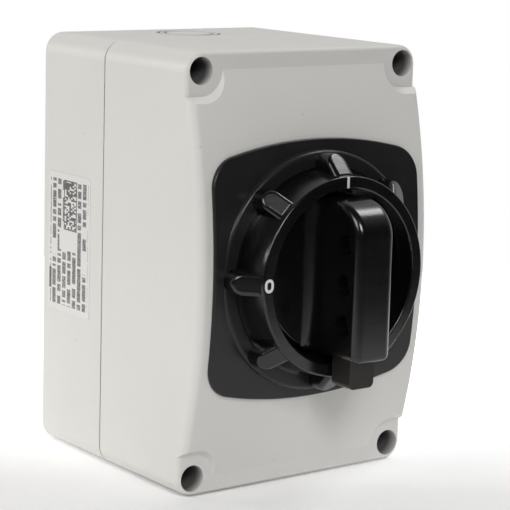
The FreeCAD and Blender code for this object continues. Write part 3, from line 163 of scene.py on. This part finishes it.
# ---------------------------------------------------------------- material helpers
class Recipe:
    """A material's node tree, with short calls for the nodes that the recipes share."""

    def __init__(self, name):
        self.material = bpy.data.materials.new(name)
        self.material.use_nodes = True
        self.tree = self.material.node_tree
        self.shader = self.tree.nodes["Principled BSDF"]
        position = self.node("ShaderNodeTexCoord")
        scale = self.node("ShaderNodeVectorMath", operation="SCALE")
        scale.inputs["Scale"].default_value = 1 / MM
        self.join(position.outputs["Object"], scale.inputs[0])
        self.place = scale.outputs["Vector"]

    def node(self, kind, **settings):
        made = self.tree.nodes.new(kind)
        for key, value in settings.items():
            setattr(made, key, value)
        return made

    def join(self, source, target):
        self.tree.links.new(source, target)

    def fill(self, socket, value):
        """Link a socket, or set it where the value is a number or a colour."""
        if isinstance(value, bpy.types.NodeSocket):
            self.join(value, socket)
        elif hasattr(socket.default_value, "__len__") and len(value) == 3 and len(socket.default_value) == 4:
            socket.default_value = (*value, 1)
        else:
            socket.default_value = value

    def noise(self, per_mm, detail=3.0, roughness=0.55, place=None):
        made = self.node("ShaderNodeTexNoise")
        made.inputs["Scale"].default_value = per_mm
        made.inputs["Detail"].default_value = detail
        made.inputs["Roughness"].default_value = roughness
        self.join(place or self.place, made.inputs["Vector"])
        return made.outputs["Fac"]

    def spots(self, per_mm, size):
        """1 inside small scattered dots, 0 elsewhere."""
        made = self.node("ShaderNodeTexVoronoi")
        made.inputs["Scale"].default_value = per_mm
        self.join(self.place, made.inputs["Vector"])
        return self.band(made.outputs["Distance"], size, size * 0.5, 0.0, 1.0)

    def band(self, value, low, high, to_low, to_high):
        """Map one range of values to another, and hold the ends."""
        return map_range(self.tree, value, (low, high), (to_low, to_high))

    def math(self, operation, first, second=0.0):
        """One arithmetic step. Steps with a single input ignore the second."""
        made = self.node("ShaderNodeMath", operation=operation)
        self.fill(made.inputs[0], first)
        self.fill(made.inputs[1], second)
        return made.outputs["Value"]

    def between(self, value, low, high):
        """1 between two values, 0 outside them."""
        above = self.math("GREATER_THAN", value, low)
        below = self.math("LESS_THAN", value, high)
        return self.both(above, below)

    def both(self, first, second):
        return self.math("MULTIPLY", first, second)

    def either(self, first, second):
        return self.math("MAXIMUM", first, second)

    def axes(self):
        """The X, Y and Z of the place, in millimetres."""
        split = self.node("ShaderNodeSeparateXYZ")
        self.join(self.place, split.inputs["Vector"])
        return split.outputs["X"], split.outputs["Y"], split.outputs["Z"]

    def blocks(self, along, across, length, chance, seed):
        """1 in a random share of equal lengths, different in each row."""
        cell = self.node("ShaderNodeCombineXYZ")
        self.join(self.math("FLOOR", self.math("DIVIDE", along, length)), cell.inputs["X"])
        self.join(across, cell.inputs["Y"])
        cell.inputs["Z"].default_value = seed
        chosen = self.node("ShaderNodeTexWhiteNoise", noise_dimensions="3D")
        self.join(cell.outputs["Vector"], chosen.inputs["Vector"])
        return self.math("LESS_THAN", chosen.outputs["Value"], chance)

    def mix(self, factor, first, second):
        made = self.node("ShaderNodeMix", data_type="RGBA")
        self.fill(made.inputs["Factor"], factor)
        self.fill(made.inputs[6], first)
        self.fill(made.inputs[7], second)
        return made.outputs[2]

    def edges(self, radius_mm):
        """1 on sharp edges, falling to 0 on flat faces."""
        bevel = self.node("ShaderNodeBevel", samples=6)
        bevel.inputs["Radius"].default_value = radius_mm * MM
        geometry = self.node("ShaderNodeNewGeometry")
        dot = self.node("ShaderNodeVectorMath", operation="DOT_PRODUCT")
        self.join(bevel.outputs["Normal"], dot.inputs[0])
        self.join(geometry.outputs["Normal"], dot.inputs[1])
        return self.band(dot.outputs["Value"], 0.99, 0.86, 0.0, 1.0)

    def painted_corner_shade(self, distance_mm):
        """Mask for painted shade, from ambient occlusion: 1 in tight corners, falling to 0 in the open."""
        shade = self.node("ShaderNodeAmbientOcclusion", samples=8)
        shade.inputs["Distance"].default_value = distance_mm * MM
        return self.band(shade.outputs["AO"], 0.75, 0.2, 0.0, 1.0)

    def bump(self, height, depth_mm, strength, below=None):
        made = self.node("ShaderNodeBump")
        made.inputs["Strength"].default_value = strength
        made.inputs["Distance"].default_value = depth_mm * MM
        self.join(height, made.inputs["Height"])
        if below:
            self.join(below, made.inputs["Normal"])
        return made.outputs["Normal"]

    def finish(self, colour, roughness, normal=None, metallic=0.0, specular=0.5):
        shader = self.shader.inputs
        self.fill(shader["Base Color"], colour)
        self.fill(shader["Roughness"], roughness)
        shader["Metallic"].default_value = metallic
        shader["Specular IOR Level"].default_value = specular
        if normal:
            self.join(normal, shader["Normal"])
        return self.material


# ---------------------------------------------------------------- materials
def screw_well_shade(made):
    """Painted shade that rises with depth inside the four screw wells."""
    x, y, z = made.axes()
    across = made.math("SUBTRACT", made.math("ABSOLUTE", x), WELL_CENTRE[0])
    along = made.math("SUBTRACT", made.math("ABSOLUTE", z), WELL_CENTRE[1])
    distance = made.math("SQRT", made.math("ADD", made.both(across, across), made.both(along, along)))
    in_well = made.math("LESS_THAN", distance, WELL_REACH)
    above_foot = made.math("LESS_THAN", y, WELL_FOOT)
    return made.both(made.both(in_well, above_foot), made.band(y, *WELL_DEPTHS, 0.0, WELL_SHADE))


def moulded_shell():
    """Light grey moulded enclosure plastic with a fine spark-eroded grain, and painted shade in tight corners
    and deep in the screw wells.
    """
    made = Recipe("enclosure_plastic")
    cloud = made.noise(0.02, 2.0)
    base = made.mix(made.band(cloud, 0.35, 0.65, 0.0, 1.0), (0.700, 0.688, 0.660), (0.722, 0.710, 0.684))
    grain = made.noise(2.2, 4.0, 0.65)
    base = made.mix(made.band(grain, 0.3, 0.7, 0.0, 0.35), base, (0.660, 0.650, 0.625))
    base = made.mix(made.both(made.spots(0.11, 0.05), 0.25), base, (0.20, 0.18, 0.16))
    base = made.mix(made.both(made.edges(0.7), 0.25), base, (0.80, 0.79, 0.77))
    # Painted shade: darker in tight corners and creases, from ambient occlusion.
    base = made.mix(made.both(made.painted_corner_shade(2.2), 0.65), base, (0.16, 0.155, 0.15))
    # Painted shade deep inside the four screw wells.
    base = made.mix(screw_well_shade(made), base, (0.075, 0.075, 0.075))
    roughness = made.band(made.noise(0.15, 3.0), 0.3, 0.7, 0.42, 0.54)
    normal = made.bump(made.noise(0.06, 2.0), 0.03, 0.5)
    normal = made.bump(grain, 0.012, 0.45, normal)
    return made.finish(base, roughness, normal, specular=0.42)


def black_plastic(name, colour, roughness, grain_depth, dust, specular):
    """Black moulding: satin grain, rubbed edges, faint dust and a few hairline scratches."""
    made = Recipe(name)
    cloud = made.noise(0.05, 3.0)
    lighter = tuple(1.5 * part + 0.001 for part in colour)
    base = made.mix(made.band(cloud, 0.4, 0.75, 0.0, 0.6), colour, lighter)
    worn = made.both(made.edges(0.25), made.band(made.noise(0.6, 4.0), 0.4, 0.7, 0.0, 0.3))
    base = made.mix(worn, base, (0.03, 0.03, 0.031))
    specks = made.both(made.spots(0.45, 0.05), dust)
    base = made.mix(specks, base, (0.16, 0.155, 0.15))
    stretch = made.node("ShaderNodeMapping")
    stretch.inputs["Scale"].default_value = (0.25, 0.25, 3.0)
    stretch.inputs["Rotation"].default_value = (0.3, 0.5, 0.9)
    made.join(made.place, stretch.inputs["Vector"])
    scratches = made.noise(0.3, 5.0, 0.7, stretch.outputs["Vector"])
    rough = made.band(scratches, 0.35, 0.75, roughness - 0.02, roughness + 0.04)
    normal = made.bump(made.noise(1.6, 2.0), grain_depth, 0.4)
    normal = made.bump(made.band(scratches, 0.70, 0.74, 0.0, 1.0), 0.002, 0.2, normal)
    return made.finish(base, rough, normal, specular=specular)


def rubber():
    made = Recipe("seal_rubber")
    base = made.mix(made.noise(0.8, 4.0), (0.012, 0.012, 0.012), (0.035, 0.034, 0.033))
    return made.finish(base, 0.75, made.bump(made.noise(2.5, 3.0), 0.02, 0.5), specular=0.3)


def plated_steel():
    made = Recipe("zinc_steel")
    base = made.mix(made.noise(0.5, 5.0), (0.48, 0.48, 0.47), (0.66, 0.66, 0.65))
    # Painted shade: the zinc-plated parts darker in tight corners, from ambient occlusion.
    base = made.mix(made.both(made.painted_corner_shade(0.8), 0.6), base, (0.10, 0.09, 0.08))
    roughness = made.band(made.noise(1.5, 4.0), 0.3, 0.7, 0.22, 0.42)
    return made.finish(base, roughness, made.bump(made.noise(4.0, 2.0), 0.004, 0.5), metallic=1.0)


def metal(name, dark, light, roughness):
    made = Recipe(name)
    base = made.mix(made.noise(0.35, 5.0), dark, light)
    rough = made.band(made.noise(2.0, 4.0), 0.3, 0.7, roughness - 0.06, roughness + 0.1)
    return made.finish(base, rough, made.bump(made.noise(3.0, 3.0), 0.005, 0.5), metallic=1.0)


def thermoset(name, dark, light):
    """Filled moulding with a fibrous fleck."""
    made = Recipe(name)
    fleck = made.noise(1.2, 6.0, 0.7)
    base = made.mix(made.band(fleck, 0.4, 0.65, 0.0, 1.0), dark, light)
    roughness = made.band(made.noise(0.6, 3.0), 0.3, 0.7, 0.42, 0.6)
    return made.finish(base, roughness, made.bump(fleck, 0.01, 0.4), specular=0.4)


def mark_paint():
    made = Recipe("mark_white")
    base = made.mix(made.noise(1.5, 4.0), (0.70, 0.70, 0.69), (0.86, 0.86, 0.85))
    return made.finish(base, 0.45, made.bump(made.noise(3.0, 3.0), 0.01, 0.5))


def printed_film():
    """Thin white film with rows of unreadable dashes, a small table and a bar, all in black ink."""
    made = Recipe("label_film")
    _, across, along = made.axes()

    def area(across_span, along_span):
        return made.both(made.between(across, *across_span), made.between(along, *along_span))

    def shrunk(span):
        return span[0] + TABLE_LINE, span[1] - TABLE_LINE

    rows = made.math("DIVIDE", across, PRINT_ROW)
    row = made.math("FLOOR", rows)
    stroke = made.between(made.math("FRACT", made.math("ADD", rows, PRINT_ROW_SHIFT)), *PRINT_STROKE)
    words = made.both(
        made.blocks(along, row, PRINT_DASH, 0.76, 1.0), made.blocks(along, row, PRINT_WORD, 0.86, 2.0))
    ragged = made.band(made.noise(2.4, 3.0, 0.7), 0.35, 0.5, 0.2, 1.0)
    lines = made.both(made.both(stroke, words), made.both(area(PRINT_ACROSS, PRINT_ALONG), ragged))

    table = area(TABLE_ACROSS, TABLE_ALONG)
    table_inner = area(shrunk(TABLE_ACROSS), shrunk(TABLE_ALONG))
    border = made.math("SUBTRACT", table, table_inner)
    cell_width, cell_length = TABLE_CELLS
    cell_row = made.math("FLOOR", made.math("DIVIDE", across, cell_width))
    cells = made.both(table_inner, made.blocks(along, cell_row, cell_length, 0.55, 3.0))

    clear_of_table = made.math("SUBTRACT", 1.0, made.either(table, area(BLANK_ACROSS, BLANK_ALONG)))
    bar = area(BAR_ACROSS, BAR_ALONG)
    ink = made.either(made.both(lines, clear_of_table), made.either(made.either(border, cells), bar))

    film = made.mix(made.noise(0.1, 2.0), (0.718, 0.710, 0.692), (0.738, 0.731, 0.714))
    base = made.mix(made.both(ink, INK_WEIGHT), film, (0.030, 0.030, 0.034))
    return made.finish(base, 0.38, made.bump(made.noise(0.5, 2.0), 0.01, 0.3), specular=0.4)


def floor_paper():
    """White sweep: plain in front of the object, and glowing up to white by its own emission behind it and at
    the rim.
    """
    made = Recipe("floor_paper")
    tone = made.mix(made.noise(0.004, 2.0), (0.86, 0.86, 0.86), (0.90, 0.90, 0.90))
    away = made.node("ShaderNodeVectorMath", operation="DOT_PRODUCT")
    made.join(made.place, away.inputs[0])
    away.inputs[1].default_value = (CAMERA_AHEAD.x, CAMERA_AHEAD.y, 0)
    behind = made.band(away.outputs["Value"], *FLOOR_GLOW_SPAN, *FLOOR_GLOW)
    reach = made.node("ShaderNodeVectorMath", operation="LENGTH")
    made.join(made.place, reach.inputs[0])
    rim = made.band(reach.outputs["Value"], *FLOOR_RIM_SPAN, 0.0, 1.0)
    # Painted glow: the floor emits light behind the object and towards the rim.
    made.join(made.either(behind, rim), made.shader.inputs["Emission Strength"])
    made.shader.inputs["Emission Color"].default_value = (1, 1, 1, 1)
    return made.finish(tone, 0.9, specular=0.0)


def make_floor(height):
    """Round sheet just under the object."""
    mesh = bpy.data.meshes.new("floor")
    rim = []
    for number in range(FLOOR_SIDES):
        angle = 2 * math.pi * number / FLOOR_SIDES
        rim.append((FLOOR_RADIUS * math.cos(angle), FLOOR_RADIUS * math.sin(angle), height))
    mesh.from_pydata(rim, [], [tuple(range(FLOOR_SIDES))])
    floor = bpy.data.objects.new("floor", mesh)
    bpy.context.collection.objects.link(floor)
    floor.data.materials.append(floor_paper())


make_camera()
for lamp in LAMPS:
    make_lamp(*lamp)
make_world()

MATERIALS = {
    "enclosure_plastic": moulded_shell(),
    "seal_rubber": rubber(),
    "zinc_steel": plated_steel(),
    "label_film": printed_film(),
    "black_satin_plastic": black_plastic(
        "black_satin_plastic", (0.0130, 0.0130, 0.0138), 0.30, 0.004, 0.2, 0.32),
    "black_gloss_plastic": black_plastic(
        "black_gloss_plastic", (0.0024, 0.0024, 0.0025), 0.21, 0.002, 0.15, 0.62),
    "mark_white": mark_paint(),
    "bush_nut_plastic": black_plastic("bush_nut_plastic", (0.03, 0.03, 0.03), 0.5, 0.01, 0.2, 0.4),
    "slide_plastic": black_plastic("slide_plastic", (0.009, 0.0072, 0.0062), 0.34, 0.004, 0.2, 0.4),
    "spring_steel": metal("spring_steel", (0.42, 0.42, 0.42), (0.6, 0.6, 0.6), 0.28),
    "rotor_plastic": thermoset("rotor_plastic", (0.26, 0.045, 0.02), (0.42, 0.10, 0.05)),
    "switch_plastic": thermoset("switch_plastic", (0.030, 0.030, 0.033), (0.075, 0.075, 0.08)),
    "contact_copper": metal("contact_copper", (0.60, 0.28, 0.16), (0.78, 0.44, 0.30), 0.3),
    "earth_brass": metal("earth_brass", (0.60, 0.42, 0.16), (0.80, 0.62, 0.30), 0.3),
}
for part in frame["record"]["subparts"]:
    NODES[part["node"]].data.materials[0] = MATERIALS[part["material_slot"]]

make_floor(cad_box[0].z - FLOOR_GAP)

bpy.context.scene.view_settings.view_transform = "Standard"
